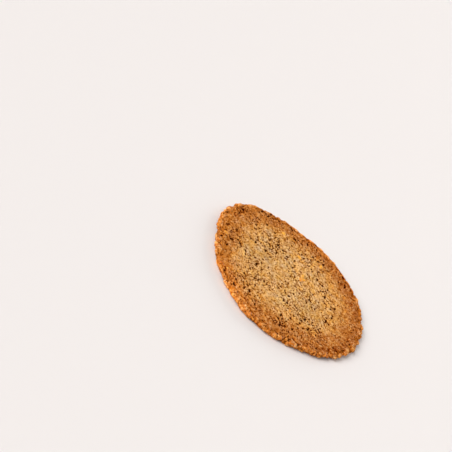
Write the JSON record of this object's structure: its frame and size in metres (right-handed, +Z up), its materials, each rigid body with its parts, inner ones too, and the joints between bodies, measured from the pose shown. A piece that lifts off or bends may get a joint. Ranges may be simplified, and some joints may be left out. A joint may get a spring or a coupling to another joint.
{
  "type": "crepe biscuit",
  "caption": "Thin round crisp biscuit of pitted, crumbly batter with a browned, knobbly rim; it lies flat on its underside and is eaten by hand.",
  "frame": {"origin": "on the table under the biscuit's centre, at the flat of its underside", "axes": "+Z up out of the browned top; the outline's shallow bay is near +Y"},
  "size_m": [0.0716, 0.071, 0.003],
  "materials": {
    "baked_crumb": "dry, pitted baked crumb, golden tan in the middle and browner at the rim"
  },
  "bodies": {
    "root": {"biscuit": "baked_crumb"}
  },
  "joints": []
}
